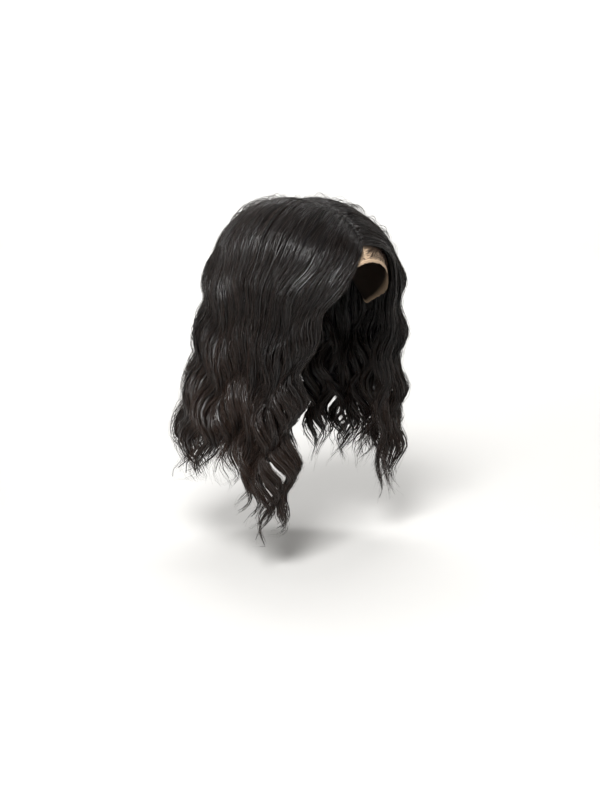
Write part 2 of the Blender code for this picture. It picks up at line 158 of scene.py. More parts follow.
def closed_sheet(name, inner, outer, columns, rows, width=1.0, length=1.0):
    """Closed sheet between two grids of points. Its map shows the outside and, past it, the inside."""
    points = np.concatenate([inner.reshape(-1, 3), outer.reshape(-1, 3)])
    across, down = np.meshgrid(np.arange(columns - 1), np.arange(rows - 1), indexing="ij")
    a = (across * rows + down).ravel()
    quads = np.stack([a, a + 1, a + rows + 1, a + rows], -1)
    rim = [(c, 0) for c in range(columns)] + [(columns - 1, r) for r in range(1, rows)]
    rim += [(c, rows - 1) for c in range(columns - 2, -1, -1)]
    rim += [(0, r) for r in range(rows - 2, 0, -1)]
    index = np.array([c * rows + r for c, r in rim])
    after = np.roll(index, -1)
    top = columns * rows
    wall = np.stack([index, after, after + top, index + top], -1)
    faces = np.concatenate([quads, quads[:, ::-1] + top, wall])
    if signed_volume(points, faces) < 0:
        faces = faces[:, ::-1]
    mesh = bpy.data.meshes.new(name)
    mesh.from_pydata(points, [], faces.tolist())
    layer = mesh.uv_layers.new(name="OFBake")
    c, r = np.divmod(np.arange(2 * top) % top, rows)
    place = np.stack([c / (columns - 1) * width, r / (rows - 1) * length], -1)
    place[:top, 1] = 2 * length - place[:top, 1]
    loops = np.empty(len(mesh.loops), np.int32)
    mesh.loops.foreach_get("vertex_index", loops)
    layer.data.foreach_set("uv", (place[loops] / max(width, 2 * length)).ravel())
    mesh.shade_smooth()
    made = bpy.data.objects.new(name, mesh)
    scene.collection.objects.link(made)
    return made


def signed_volume(points, quads):
    """Six times the volume inside the quads, below 0 where they face inwards."""
    a, b, c, d = (points[quads[:, i]] for i in range(4))
    return float(np.sum(a * np.cross(b, c)) + np.sum(a * np.cross(c, d)))


def colour(code):
    """Linear colour of an sRGB hex value."""
    parts = [int(code[i : i + 2], 16) / 255 for i in (1, 3, 5)]
    linear = [p / 12.92 if p <= 0.04045 else ((p + 0.055) / 1.055) ** 2.4 for p in parts]
    return (*linear, 1)


def node(material, kind, settings=(), links=()):
    """Adds a node to a material, with its settings and the links into it."""
    made = material.node_tree.nodes.new(kind)
    for key, value in dict(settings).items():
        if isinstance(key, int) or key in made.inputs:
            made.inputs[key].default_value = value
        else:
            setattr(made, key, value)
    for socket, source in dict(links).items():
        material.node_tree.links.new(source, made.inputs[socket])
    return made


def new_material(name):
    """An empty node material."""
    material = bpy.data.materials.new(name)
    material.use_nodes = True
    material.node_tree.nodes.clear()
    return material


def knitted_cells(material, cells, uneven, thread, holes, relief):
    """Threads of a net round its cells: the map, the threads and their bump."""
    place = node(material, "ShaderNodeUVMap", {"uv_map": "OFBake"})
    cells = node(
        material,
        "ShaderNodeTexVoronoi",
        {"feature": "DISTANCE_TO_EDGE", "Scale": cells, "Randomness": uneven},
        {"Vector": place.outputs["UV"]},
    )
    threads = node(
        material,
        "ShaderNodeMapRange",
        {"From Min": thread[0], "From Max": thread[1], "To Min": 1.0, "To Max": holes},
        {"Value": cells.outputs["Distance"]},
    )
    height = {"Height": threads.outputs["Result"]}
    return place, threads, node(material, "ShaderNodeBump", relief, height)


cap_share = np.linspace(0, 1, CAP_ROWS + 1)
cap_near = seam_directions(SEAM_BEHIND_TOP + SEAM_GAP, CAP_COLUMNS)
cap_bearing = np.linspace(EAR_ARCH_BEARING, 360 - EAR_ARCH_BEARING, CAP_COLUMNS + 1)
cap_far = edge_directions(cap_bearing)
cap_grid = turned(cap_near[:, None, :], cap_far[:, None, :], cap_share[None, :])
cap_track = np.clip(np.cos(2 * np.pi * TRACKS * cap_share) * 3 - 2, 0, 1)
cap_hem = rising(cap_share, HEM_START, HEM_FULL)
cap_relief = (TRACK_RELIEF * cap_track + HEM_RELIEF * cap_hem)[None, :]
cap_net = closed_sheet(
    "cap_net",
    on_head(cap_grid, CAP_INSIDE - cap_relief * 0.6),
    on_head(cap_grid, CAP_OUTSIDE + cap_relief * 0.5),
    CAP_COLUMNS + 1,
    CAP_ROWS + 1,
    CAP_WIDTH,
    CAP_LENGTH,
)

# Nylon stretch net, knitted and dyed black: it looks dull, with a soft open mesh. The cells, about
# 1 mm in a real net, are drawn at 2.4 mm so that they show.
NET_CELL = 2.4 * MM
cap_size = max(CAP_WIDTH, 2 * CAP_LENGTH)
stretch_net = new_material("nylon stretch net, black")
net_relief = {"Strength": 0.6, "Distance": 0.4 * MM}
net_map, net_thread, net_bump = knitted_cells(
    stretch_net, cap_size / NET_CELL, 0.15, (0.08, 0.2), 0.0, net_relief
)
net_tint = node(
    stretch_net,
    "ShaderNodeMix",
    {"data_type": "RGBA", 6: colour("#0b0a0a"), 7: colour("#2a2625")},
    {0: net_thread.outputs["Result"]},
)
net_surface = node(
    stretch_net,
    "ShaderNodeBsdfPrincipled",
    {"Roughness": 0.8, "IOR": 1.53, "Specular IOR Level": 0.3},
    {"Base Color": net_tint.outputs[2], "Normal": net_bump.outputs["Normal"]},
)
node(stretch_net, "ShaderNodeOutputMaterial", {}, {"Surface": net_surface.outputs[0]})
cap_net.data.materials.append(stretch_net)
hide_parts("wig_cap")
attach(cap_net, "root")

# Lace front
# A sheer panel of fine lace from ear to ear, 4 inches deep, sewn to the cap over the top of the
# head. It is trimmed a finger's width outside the hairline, and single hairs are knotted to it.
EAR_TAB_BEARING = 79
LACE_COLUMNS = 100
LACE_ROWS = 40
LACE_WIDTH = 0.33
LACE_LENGTH = 0.11
LACE_INSIDE = 0.5 * MM
LACE_OUTSIDE = 0.8 * MM
# Scissors leave the cut a little uneven, by this share of the way to the seam
LACE_UNEVEN = 0.006
lace_bearing = np.linspace(EAR_TAB_BEARING, -EAR_TAB_BEARING, LACE_COLUMNS + 1)
lace_near = edge_directions(lace_bearing)
lace_far = seam_directions(SEAM_BEHIND_TOP, LACE_COLUMNS)
lace_share = np.linspace(0, 1, LACE_ROWS + 1)
lace_step = np.arange(LACE_COLUMNS + 1)
lace_cut = LACE_UNEVEN * np.sin(lace_step * 1.9) * np.sin(lace_step * 0.7)
lace_grid = turned(
    lace_near[:, None, :],
    lace_far[:, None, :],
    lace_share[None, :] + (1 - lace_share)[None, :] ** 6 * lace_cut[:, None],
)
lace = closed_sheet(
    "sheer_lace",
    on_head(lace_grid, LACE_INSIDE),
    on_head(lace_grid, LACE_OUTSIDE),
    LACE_COLUMNS + 1,
    LACE_ROWS + 1,
    LACE_WIDTH,
    LACE_LENGTH,
)

# Polyester monofilament, warp knitted into a hexagon net and heat set: it looks sheer and skin
# coloured. The cells, about 1 mm in real lace, are drawn at 1.7 mm so that they show.
LACE_CELL = 1.7 * MM
lace_size = max(LACE_WIDTH, 2 * LACE_LENGTH)
sheer = new_material("polyester lace, skin tone")
lace_relief = {"Strength": 0.5, "Distance": 0.2 * MM}
lace_map, lace_thread, lace_bump = knitted_cells(
    sheer, lace_size / LACE_CELL, 0.1, (0.1, 0.26), 0.5, lace_relief
)
# Behind the hairline each cell has its knot of dark hair, which shows through from the inside. The
# knots start 10 mm behind the cut edge and are dense at 20 mm, and 8 mm sooner near the ears. The
# first two distances are measured from the seam.
KNOTS_START = 100 * MM
KNOTS_DENSE = 90 * MM
KNOTS_SOONER = 8 * MM
lace_split = node(sheer, "ShaderNodeSeparateXYZ", {}, {"Vector": lace_map.outputs["UV"]})
past_seam = node(
    sheer,
    "ShaderNodeMath",
    {"operation": "SUBTRACT", 1: LACE_LENGTH / lace_size},
    {0: lace_split.outputs["Y"]},
)
from_seam = node(sheer, "ShaderNodeMath", {"operation": "ABSOLUTE"}, {0: past_seam.outputs[0]})
past_middle = node(
    sheer, "ShaderNodeMath", {"operation": "SUBTRACT", 1: 0.5}, {0: lace_split.outputs["X"]}
)
from_middle = node(sheer, "ShaderNodeMath", {"operation": "ABSOLUTE"}, {0: past_middle.outputs[0]})
closer = node(
    sheer,
    "ShaderNodeMapRange",
    {"From Min": 0.12, "From Max": 0.4, "To Max": KNOTS_SOONER / lace_size},
    {"Value": from_middle.outputs[0]},
)
hairline = node(
    sheer,
    "ShaderNodeMath",
    {"operation": "SUBTRACT"},
    {0: from_seam.outputs[0], 1: closer.outputs["Result"]},
)
behind_hairline = node(
    sheer,
    "ShaderNodeMapRange",
    {"From Min": KNOTS_START / lace_size, "From Max": KNOTS_DENSE / lace_size},
    {"Value": hairline.outputs[0]},
)
lace_tint = node(
    sheer,
    "ShaderNodeMix",
    {"data_type": "RGBA", 6: colour("#b89f85"), 7: colour("#2c211b")},
    {0: behind_hairline.outputs["Result"]},
)
lace_surface = node(
    sheer,
    "ShaderNodeBsdfPrincipled",
    {"Roughness": 0.55, "IOR": 1.55, "Specular IOR Level": 0.3},
    {
        "Base Color": lace_tint.outputs[2],
        "Normal": lace_bump.outputs["Normal"],
        "Alpha": lace_thread.outputs["Result"],
    },
)
node(sheer, "ShaderNodeOutputMaterial", {}, {"Surface": lace_surface.outputs[0]})
lace.data.materials.append(sheer)
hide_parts("lace_front")
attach(lace, "root")

# Combed hair on the dome
# Human hair in three sections, knotted to the lace on both sides of the centre part and sewn to
# the cap in wefts behind the crown. It is combed flat down to the ears, where its waves begin.
# The part runs from its front end to the crown, round which the last roots lie on an arc
PART_FRONT = (-3 * MM, -81 * MM, -41 * MM)
CROWN = (0, 26 * MM, -3 * MM)
CROWN_RADIUS = 1.5 * MM
CROWN_SHARE = 0.14
ROOT_HEIGHT = 3.6 * MM
# Bearings of the hair at both sides, from its front edge to its back
RIGHT_EDGE = 33
RIGHT_BACK = 106
LEFT_BACK = 254
LEFT_EDGE = 319
# How far the hair at each front edge bows on its way over the dome: forwards, or back below 0
SWEEP_RIGHT = 0.05
SWEEP_LEFT = -0.32
# How far the outside of the hanging hair stands off the head form, in mm. The columns are
# bearings, and the rows are drops in mm.
REACH_BEARING = (50, 90, 134, 180, 226, 270, 308)
REACH_DROP = (97, 130, 165, 200, 235, 265, 300, 360)
REACH = (
    (25, 28, 30, 30, 29, 30, 30),
    (25, 29, 34, 31, 30, 33, 34),
    (25, 32, 42, 32, 32, 36, 38),
    (26, 35, 47, 34, 35, 39, 42),
    (28, 40, 61, 40, 41, 43, 46),
    (30, 42, 62, 43, 45, 45, 46),
    (28, 40, 60, 42, 43, 43, 43),
    (23, 33, 54, 38, 36, 35, 35),
)
# The same for its inside, which is alike all round the head
INSIDE = (2.4, 3, 3, 5, 10, 14, 16, 14)
RIGHT_EDGE_OUTSIDE = 8 * MM
LEFT_EDGE_OUTSIDE = 12 * MM
RIGHT_EDGE_INSIDE = 3.5 * MM
LEFT_EDGE_INSIDE = 6 * MM
# Degrees behind each front edge at which the hair has its full body
FADE_RIGHT = 24
FADE_LEFT = 14
# The front edges drift back by so many degrees while they fall
EDGE_DRIFT = 21
EDGE_DRIFT_FALL = 130 * MM
# Height of the hair over the top of the head, and how quickly it rises from the part
TOP_HEIGHT_FRONT = 9 * MM
TOP_HEIGHT_BACK = 15 * MM
TOP_LEFT_LESS = 3 * MM
TOP_RISE = 16 * MM
# Body waves: their length, and their depth in mm at drops in mm
WAVE_LENGTH = 52 * MM
WAVE_DROP = (0, 40, 100, 200, 280, 360)
WAVE_SIZE = (0, 1.8, 3.4, 6.0, 7.5, 6.0)
# The hair hangs about this far from the axis of the head
HANG_RADIUS = 110 * MM
# The innermost hair starts this far off the head form, and the roots this far beside the part
ROOT_INSIDE = 1.6 * MM
PART_HALF_GAP = 0.2 * MM
# The way over the dome is this much longer than the arc of a ball as high as the head
DOME_CURVE = 1.12
# Waves swing sideways by this share of their depth, and by at least so much, and less behind
SWING_SHARE = 1.1
SWING_LEAST = 1.6 * MM
SWING_LESS_BEHIND = 0.32
# Sections of hair: first and last bearing, and how many locks there are in each layer
HAIR_SECTIONS = {
    "right": (RIGHT_EDGE, RIGHT_BACK, (18, 14, 12)),
    "left": (LEFT_BACK, LEFT_EDGE, (17, 12, 9)),
    "back": (RIGHT_BACK, LEFT_BACK, (34, 29, 25)),
}
# Neighbouring hair waves together, in patches of so many degrees
WAVE_PATCH = 17
DOME_COLUMNS = {"right": 90, "left": 80, "back": 110}
DOME_ROWS = 34
DOME_SHEET_DROP = 84 * MM
# From this share of its length on, the sheet sinks in between the locks
SHEET_SINKS = 0.45


def from_centre(point):
    """Direction of a point from the head's centre."""
    return unit(np.asarray(point, float) + np.array([0, 0, HEAD_HALF_HEIGHT]))


def root_direction(bearing):
    """Direction of the root of the hair that hangs at a bearing."""
    crown = np.array(CROWN)
    arc = unit(crown + CROWN_RADIUS * towards(bearing) + np.array([0, 0, HEAD_HALF_HEIGHT]))
    right = (bearing - RIGHT_EDGE) / (RIGHT_BACK - RIGHT_EDGE)
    left = (LEFT_EDGE - bearing) / (LEFT_EDGE - LEFT_BACK)
    share = np.clip(np.where(bearing < 180, right, left), 0, 1)
    root = turned(from_centre(PART_FRONT), from_centre(crown), share**0.9)
    root[..., 0] += np.where(bearing < 180, -1, 1) * PART_HALF_GAP / HEAD_HALF_HEIGHT
    return unit(root + (arc - root) * rising(share, 1 - CROWN_SHARE, 1)[..., None])


def front_edge_share(bearing):
    """How near the hair is to the front edge on the right, and to the one on the left."""
    right = np.clip((RIGHT_BACK - bearing) / (RIGHT_BACK - RIGHT_EDGE), 0, 1)
    left = np.clip((bearing - LEFT_BACK) / (LEFT_EDGE - LEFT_BACK), 0, 1)
    return right**1.5, left**1.5


def lengthways(bearing, share):
    """Direction at a share of the way from the root to the level of the ears."""
    root = root_direction(bearing)
    end = towards(bearing)
    facing = np.sign(-end[..., 0:1])
    right, left = front_edge_share(bearing)
    sweep = SWEEP_RIGHT * right + SWEEP_LEFT * left
    bend = sweep[..., None] * facing * unit(np.cross(root, end))
    middle = turned(root, end, np.full(bearing.shape, 0.5)) + bend
    share = share[..., None]
    return unit((1 - share) ** 2 * root + share**2 * end + 2 * share * (1 - share) * middle)


def reach_at(bearing, drop):
    """Distance of the outside of the hair from the head form where it hangs."""
    table = np.array(REACH, float)
    knots = np.array(REACH_BEARING, float)
    columns = [smooth_value(REACH_DROP, table[:, i], drop / MM) for i in range(len(knots))]
    columns = np.stack(columns, -1)
    slopes = np.gradient(columns, knots, axis=-1)
    x = np.clip(bearing, knots[0], knots[-1])
    i = np.clip(np.searchsorted(knots, x) - 1, 0, len(knots) - 2)
    span = knots[i + 1] - knots[i]
    f = (x - knots[i]) / span

    def pick(values, index):
        return np.take_along_axis(values, index[..., None], -1)[..., 0]

    near = pick(columns, i), pick(slopes, i)
    far = pick(columns, i + 1), pick(slopes, i + 1)
    return curve_between(f, span, *near, *far) * MM


def edge_share(bearing):
    """0 on the front edge of a side section, 1 where the hair has its full body."""
    right = (bearing - RIGHT_EDGE) / FADE_RIGHT
    return ease(np.minimum(right, (LEFT_EDGE - bearing) / FADE_LEFT))


def hair_out(bearing, drop, depth):
    """Distance from the head form in the hanging hair, at depth 0 on the inside to 1 outside."""
    body = edge_share(bearing)
    edge_inside = np.where(bearing < 180, RIGHT_EDGE_INSIDE, LEFT_EDGE_INSIDE)
    edge_outside = np.where(bearing < 180, RIGHT_EDGE_OUTSIDE, LEFT_EDGE_OUTSIDE)
    inside = smooth_value(REACH_DROP, INSIDE, drop / MM) * MM
    inside = edge_inside + (inside - edge_inside) * body
    outside = edge_outside + (reach_at(bearing, drop) - edge_outside) * body
    return inside + (outside - inside) * depth


def dome_length(bearing):
    """Length of the hair's way from its root to the level of the ears."""
    root = root_direction(bearing)
    angle = np.arccos(np.clip(np.sum(root * towards(bearing), -1), -1, 1))
    return angle * DOME_CURVE * HEAD_HALF_HEIGHT


def hair_place(bearing, along, depth, turn=0.0, swell=1.0, sideways=0.0, lift=0.0):
    """Points in the hair. Along is the drop that the hair has, or would have if it hung straight
    above the ears too. Turn and swell change the wave; sideways and lift move the point."""
    length = dome_length(bearing)
    share = np.clip(1 + (along - HEAD_HALF_HEIGHT) / length, 0.0, 1)
    run = share * length
    level = np.full_like(run, HEAD_HALF_HEIGHT)
    body = edge_share(bearing)
    behind = np.minimum(bearing - RIGHT_EDGE, LEFT_EDGE - bearing) / (RIGHT_BACK - RIGHT_EDGE)
    top = TOP_HEIGHT_FRONT + (TOP_HEIGHT_BACK - TOP_HEIGHT_FRONT) * ease(behind)
    top = top - TOP_LEFT_LESS * rising(bearing, 200, 260)
    full = ROOT_HEIGHT + (top - ROOT_HEIGHT) * (1 - np.exp(-run / TOP_RISE))
    full += (hair_out(bearing, level, 1.0) - top) * ease(share * 1.15 - 0.15)
    edge_outside = np.where(bearing < 180, RIGHT_EDGE_OUTSIDE, LEFT_EDGE_OUTSIDE)
    thin = ROOT_HEIGHT + (edge_outside - ROOT_HEIGHT) * ease(share * 1.6)
    outside = thin + (full - thin) * body
    inside = ROOT_INSIDE + (hair_out(bearing, level, 0.0) - ROOT_INSIDE) * ease(share)
    size = smooth_value(WAVE_DROP, WAVE_SIZE, along / MM) * MM * swell
    # The waves stand a little higher or lower from place to place round the head
    wave_turn = 2 * np.pi * along / WAVE_LENGTH + 0.9 * np.sin(np.radians(2 * bearing + 30))
    wave_turn += 0.8 * np.sin(np.radians(5 * bearing))
    shift = size * np.sin(wave_turn + turn)
    low_body = 0.25 + 0.75 * rising(along, HEAD_HALF_HEIGHT, 180 * MM)
    growing = rising(along, -50 * MM, 80 * MM) * (low_body + (1 - low_body) * body)
    side = (SWING_SHARE * size + SWING_LEAST) * (1 - SWING_LESS_BEHIND * ease(behind))
    side = (side * np.cos(wave_turn + turn) + sideways) * growing
    moved = bearing + np.degrees(side / HANG_RADIUS)
    dome_out = inside + (outside - inside) * depth + shift * body * depth
    on_dome = on_head(lengthways(moved, share), dome_out)
    drop = np.maximum(along, HEAD_HALF_HEIGHT)
    right, left = front_edge_share(bearing)
    back = EDGE_DRIFT * np.clip((drop - HEAD_HALF_HEIGHT) / EDGE_DRIFT_FALL, 0, 1) ** 0.8
    free = rising(drop, HEAD_HALF_HEIGHT, 157 * MM)
    fall_out = hair_out(bearing, drop, depth) + shift * (depth + (1 - depth) * free)
    hanging = on_head(towards(moved + back * (right - left)), fall_out)
    hanging[..., 2] = lift - drop
    return np.where((along < HEAD_HALF_HEIGHT)[..., None], on_dome, hanging)


def wave_patches(bearing):
    """Turn, length and sideways swing of the waves, which change smoothly round the head."""
    rng = np.random.default_rng(7)
    knots = np.arange(0, 361 + WAVE_PATCH, WAVE_PATCH)
    ranges = {
        "turn": (-1.5, 1.5),
        "length": (58, 72),
        "swing": (2, 6),
        "swing_length": (70, 84),
        "swing_turn": (-1.6, 1.6),
    }
    return {
        name: smooth_value(knots, rng.uniform(low, high, len(knots)), bearing)
        for name, (low, high) in ranges.items()
    }


def patch_turn(patch, along, more=0.0):
    """How far the waves of a patch are turned against the even waves of the whole wig."""
    uneven = 1 / (patch["length"] * MM) - 1 / WAVE_LENGTH
    turn = (patch["turn"] + more) * rising(along, 10 * MM, 180 * MM)
    return turn + 2 * np.pi * np.maximum(along, 0) * uneven


def patch_swing(patch, along, more=0.0, turn=0.0):
    """Slow swing of the hair of a patch to one side and the other."""
    swing_turn = 2 * np.pi * along / (patch["swing_length"] * MM) + patch["swing_turn"]
    swing = (patch["swing"] + more) * MM * np.sin(swing_turn + turn)
    return swing * rising(along, -20 * MM, 170 * MM)


# Along a hair of about this length its shade changes every 105 mm, and its streaks every 30 mm
HAIR_LENGTH = 420 * MM
SHADE_LENGTH = 105 * MM
STREAK_LENGTH = 30 * MM


def noise_along(material, place, across, along, detail, roughness):
    """Noise with so many steps across the map and so many along the hair."""
    spread = {"Scale": (across, along, 1.0)}
    steps = node(material, "ShaderNodeMapping", spread, {"Vector": place.outputs["UV"]})
    grain = {"Scale": 1.0, "Detail": detail, "Roughness": roughness}
    return node(material, "ShaderNodeTexNoise", grain, {"Vector": steps.outputs["Vector"]})


def hair_material(name, deep, light, brown, roughness, shine, count, streaks):
    """Human hair, permed and dyed off-black: a sharp narrow gleam along each hair, which has its
    own shade and is browner towards the tip. Count is how many hairs or locks the map holds side
    by side, and streaks is how many fine streaks lie across each."""
    material = new_material("human hair, off-black, " + name)
    place = node(material, "ShaderNodeUVMap", {"uv_map": "OFBake"})
    shades = noise_along(material, place, count * 1.3, HAIR_LENGTH / SHADE_LENGTH, 2.0, 0.6)
    shade = node(
        material,
        "ShaderNodeMapRange",
        {"From Min": 0.38, "From Max": 0.68},
        {"Value": shades.outputs["Fac"]},
    )
    mixed = node(
        material,
        "ShaderNodeMix",
        {"data_type": "RGBA", 6: colour(deep), 7: colour(light)},
        {0: shade.outputs["Result"]},
    )
    streak = noise_along(
        material, place, count * streaks, HAIR_LENGTH / STREAK_LENGTH, 3.0, 0.65
    )
    bump = node(
        material,
        "ShaderNodeBump",
        {"Strength": 0.55, "Distance": 0.45 * MM},
        {"Height": streak.outputs["Fac"]},
    )
    split = node(material, "ShaderNodeSeparateXYZ", {}, {"Vector": place.outputs["UV"]})
    low_down = node(
        material,
        "ShaderNodeMapRange",
        {"From Min": 0.55, "From Max": 1.0, "To Min": 0.0, "To Max": 0.6},
        {"Value": split.outputs["Y"]},
    )
    browner = node(
        material,
        "ShaderNodeMix",
        {"data_type": "RGBA", 7: colour(brown)},
        {0: low_down.outputs["Result"], 6: mixed.outputs[2]},
    )
    surface = node(
        material,
        "ShaderNodeBsdfPrincipled",
        {"Roughness": roughness, "IOR": 1.55, "Specular IOR Level": shine},
        {"Base Color": browner.outputs[2], "Normal": bump.outputs["Normal"]},
    )
    node(material, "ShaderNodeOutputMaterial", {}, {"Surface": surface.outputs[0]})
    return material


for section, (low, high, _) in HAIR_SECTIONS.items():
    columns = DOME_COLUMNS[section]
    bearing = np.linspace(low, high, columns)[:, None] + np.zeros((1, DOME_ROWS))
    top = HEAD_HALF_HEIGHT - dome_length(bearing)
    share = np.linspace(0, 1, DOME_ROWS)[None, :] ** 0.9 + 0 * bearing
    along = top + (DOME_SHEET_DROP - top) * share
    patch = wave_patches(bearing)
    turn = patch_turn(patch, along)
    swing = patch_swing(patch, along)
    ridge = np.random.default_rng(columns).uniform(-0.06, 0.06, (columns, 1)) * ease(share * 4)
    outer_depth = 0.6 + ridge - 0.45 * rising(share, SHEET_SINKS, 1)
    inner_depth = 0.3 - 0.25 * rising(share, SHEET_SINKS, 1)
    outer = hair_place(bearing, along, outer_depth, turn, 1.0, swing)
    inner = hair_place(bearing, along, inner_depth, turn, 1.0, swing)
    combed = closed_sheet("combed_hair_shadow_" + section, inner, outer, columns, DOME_ROWS)
    # Painted shadow: the combed hair under the locks is drawn almost black and without gleam, as the
    # shade between the hairs on top
    combed_hair_shadow = hair_material(
        "combed " + section,
        "#030202", "#070504", "#070504",
        roughness=0.5, shine=0.03, count=1, streaks=380,
    )
    combed.data.materials.append(combed_hair_shadow)
    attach(combed, "root")

# Lock cores
# Below the ears the hair gathers in locks, in an outer, a middle and an inner layer. A core is the
# dense middle of a lock, permed into its waves, and shows as the dark between its outer hairs.
LOCK_POINTS = 120
# Of each layer, the depth and the thickness as shares of the depth of the hair, and mm shorter
LAYER_DEPTH = (0.80, 0.48, 0.22)
LAYER_THICKNESS = (0.42, 0.42, 0.34)
LAYER_SHORTER = (0, 8, 20)
# Where the tips of the outer locks hang: drops in mm at bearings, and how far they stray
TIP_BEARING = (45, 60, 70, 80, 95, 120, 150, 180, 210, 240, 270, 300, 315)
TIP_DROP = (358, 364, 358, 332, 306, 306, 325, 340, 336, 328, 330, 352, 362)
TIP_STRAY = (-12, 10)
# The waves at the right front edge come a little higher up than those beside them
FRONT_TURN = 1.4
FRONT_TURN_ENDS = 62
# Towards their tips neighbouring locks gather in tufts, and each lock gets thinner
TUFT_BEARING = (42, 60, 77, 94, 113, 133, 150, 166, 181, 196, 212, 230, 249, 267, 284, 299, 311)
TUFT_LENGTH = 120 * MM
THIN_LENGTH = 70 * MM
# Hooks at the tips: how far they bend towards the back, in mm
HOOK_BEARING = (33, 50, 66, 90, 110, 134, 160, 200, 240, 270, 300, 319)
HOOK_SIZE = (26, 38, 24, 26, 24, 22, 10, 4, -10, -12, 4, -4)
HOOK_LENGTH = (30, 60)
# Flicks at the tips: how far they stand out, as a share of the depth of the hair
FLICK_BEARING = (33, 100, 120, 136, 152, 180, 296, 310, 319)
FLICK_SIZE = (0, 0, 0.2, 0.5, 0.2, 0, 0.1, 0.8, 1.4)
# Waves get shallower between these bearings, towards the front edge on the right and the left
FRONT_CALM_STARTS = 62
FRONT_CALM_FULL = 42
LEFT_CALM_STARTS = 280
LEFT_CALM_FULL = 310
# Shares of the depth of the hair: how far locks stray inwards and outwards, and the least depth
LOCK_STRAY = (-0.22, 0.14)
LOCK_LEAST_DEPTH = 0.2
CORE_ROWS = 32
CORE_SIDES = 6
CORE_END = 0.93


def section_locks(section, seed):
    """The paths of a section's locks, with the half width and half depth at each point."""
    low, high, counts = HAIR_SECTIONS[section]
    rng = np.random.default_rng(seed)
    bearing, step, layer = [], [], []
    for index, count in enumerate(counts):
        width = (high - low) / count
        bearing.append(low + width * (np.arange(count) + 0.5))
        step.append(np.full(count, width))
        layer.append(np.full(count, index))
    bearing, step, layer = map(np.concatenate, (bearing, step, layer))
    count = len(bearing)
    centre = bearing[:, None]

    def pick(least, most):
        return rng.uniform(least, most, count)[:, None]

    def of_layer(values):
        return np.array(values)[layer][:, None]

    tip = smooth_value(TIP_BEARING, TIP_DROP, centre) * MM + pick(*TIP_STRAY) * MM
    tip = tip - of_layer(LAYER_SHORTER) * MM
    hook = smooth_value(HOOK_BEARING, HOOK_SIZE, centre) * MM * pick(0.35, 1.15)
    tip = tip + 0.4 * np.abs(hook)
    top = HEAD_HALF_HEIGHT - dome_length(centre)
    along = top + (tip - top) * np.linspace(0, 1, LOCK_POINTS)[None, :]
    low_down = rising(along, 10 * MM, 180 * MM)
    patch = wave_patches(centre)
    front_turn = FRONT_TURN * rising(centre, FRONT_TURN_ENDS, FRONT_TURN_ENDS - 25)
    turn = patch_turn(patch, along, front_turn + pick(-0.6, 0.6))
    swell = 1 + pick(-0.2, 0.25) * low_down
    swell = swell * (1 - 0.35 * rising(centre, LEFT_CALM_STARTS, LEFT_CALM_FULL))
    swell = swell * (1 - 0.3 * rising(centre, FRONT_CALM_STARTS, FRONT_CALM_FULL) * low_down)
    swing = patch_swing(patch, along, pick(-1.5, 1.5), pick(-0.4, 0.4))
    tufts = np.array(TUFT_BEARING, float)
    nearest = tufts[np.argmin(np.abs(centre - tufts[None, :]), axis=1)][:, None]
    to_tuft = np.radians(nearest - centre) * HANG_RADIUS
    sideways = swing + 0.6 * to_tuft * ease((along - tip + TUFT_LENGTH) / TUFT_LENGTH)
    hook_length = pick(*HOOK_LENGTH) * MM
    hook_share = np.clip((along - tip + hook_length) / hook_length, 0, 1)
    sideways = sideways + hook * hook_share**2
    lift = 0.5 * np.abs(hook) * hook_share**3
    deep = of_layer(LAYER_DEPTH) + pick(*LOCK_STRAY) * low_down
    deep = np.maximum(deep, LOCK_LEAST_DEPTH)
    flick = smooth_value(FLICK_BEARING, FLICK_SIZE, centre) * pick(0.3, 1.2)
    deep = deep + flick * hook_share**2
    wave = (turn, swell, sideways, lift)
    path = hair_place(centre + 0 * along, along, deep, *wave)
    half = step[:, None] / 2
    one_side = hair_place(np.maximum(centre - half, low) + 0 * along, along, deep, *wave)
    other_side = hair_place(np.minimum(centre + half, high) + 0 * along, along, deep, *wave)
    under_depth = deep - of_layer(LAYER_THICKNESS) / 2
    under = hair_place(centre + 0 * along, along, under_depth, *wave)
    gathered = 0.46 + 0.54 * ease((tip - along) / THIN_LENGTH)
    hanging = rising(along, 30 * MM, 180 * MM)
    half_width = 0.5 * np.linalg.norm(other_side - one_side, axis=-1)
    half_width = half_width * (1.3 - 0.45 * hanging) * gathered
    half_depth = np.linalg.norm(under - path, axis=-1) * gathered * (0.45 + 0.55 * hanging)
    across, outward = across_and_outward(path)
    return {
        "path": path,
        "across": across,
        "outward": outward,
        "half_width": half_width,
        "half_depth": half_depth,
        "layer": layer,
        "twist": rng.uniform(-1.2, 1.2, count)[:, None] * low_down,
        "drop": along,
        "bearing": bearing,
        "step": step,
        "ends": (low, high),
        "wave": [values + 0 * along for values in wave],
    }


def across_and_outward(paths):
    """Directions across each path, along the head, and outward from the head."""
    forward = unit(np.gradient(paths, axis=1))
    away = paths - np.array([0, 0, -HEAD_HALF_HEIGHT])
    away[..., 2] = np.maximum(away[..., 2], 0)
    across = unit(np.cross(forward, unit(away)))
    return across, np.cross(across, forward)


def sampled(values, lock, place):
    """Values of each hair's lock at places from 0 at the root to 1 at the tip."""
    at = place * (LOCK_POINTS - 1)
    before = np.minimum(at.astype(int), LOCK_POINTS - 2)
    share = at - before
    if values.ndim == 3:
        share = share[..., None]
    first = values[lock[:, None], before]
    return first + (values[lock[:, None], before + 1] - first) * share


